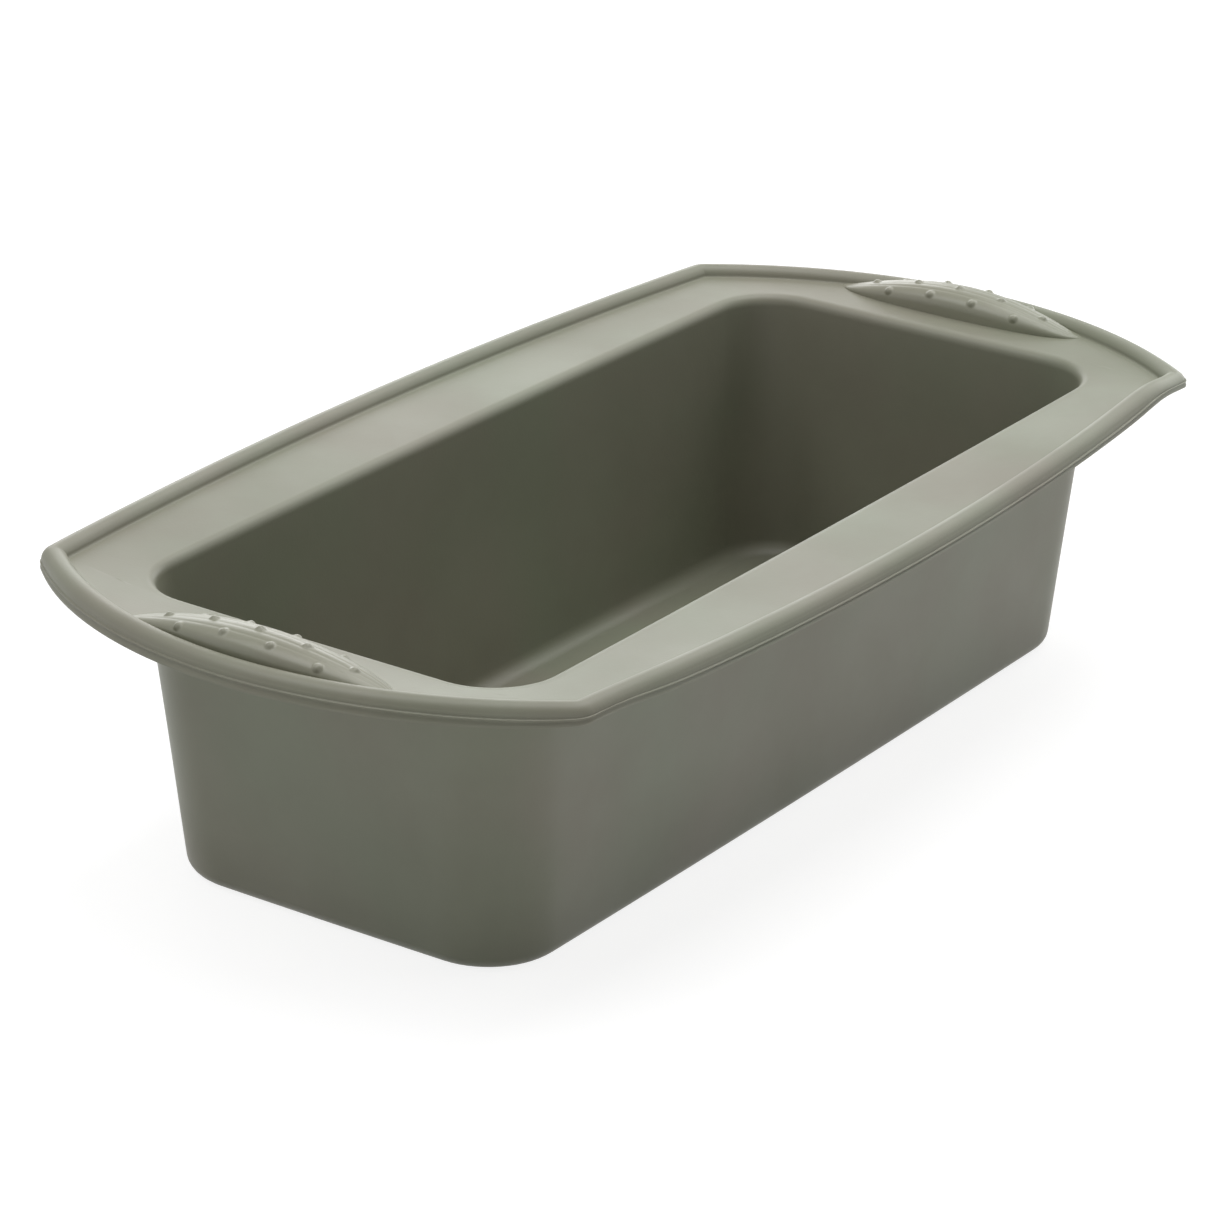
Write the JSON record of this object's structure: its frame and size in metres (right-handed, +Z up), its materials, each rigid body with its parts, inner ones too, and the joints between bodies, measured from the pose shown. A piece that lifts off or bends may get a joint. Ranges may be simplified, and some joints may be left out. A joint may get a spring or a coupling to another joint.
{
  "type": "silicone loaf pan",
  "caption": "Long rectangular silicone loaf pan with drafted walls, a wide bowed flange, a wire-stiffened beaded rim and a ribbed, nubbed grip at each end.",
  "frame": {"origin": "centre of the base, on the surface the pan stands on", "axes": "+X along the pan's length, +Y across it, +Z up out of the cavity"},
  "size_m": [0.3102, 0.1614, 0.0778],
  "materials": {
    "pan_silicone": "satin silicone, dark grey with a touch of olive",
    "grip_silicone": "smoother silicone of the same colour",
    "rim_wire_steel": "drawn wire"
  },
  "bodies": {
    "root": {"pan_body": "pan_silicone", "rim_wire": "rim_wire_steel", "grip_left": "grip_silicone", "grip_right": "grip_silicone"}
  },
  "joints": []
}
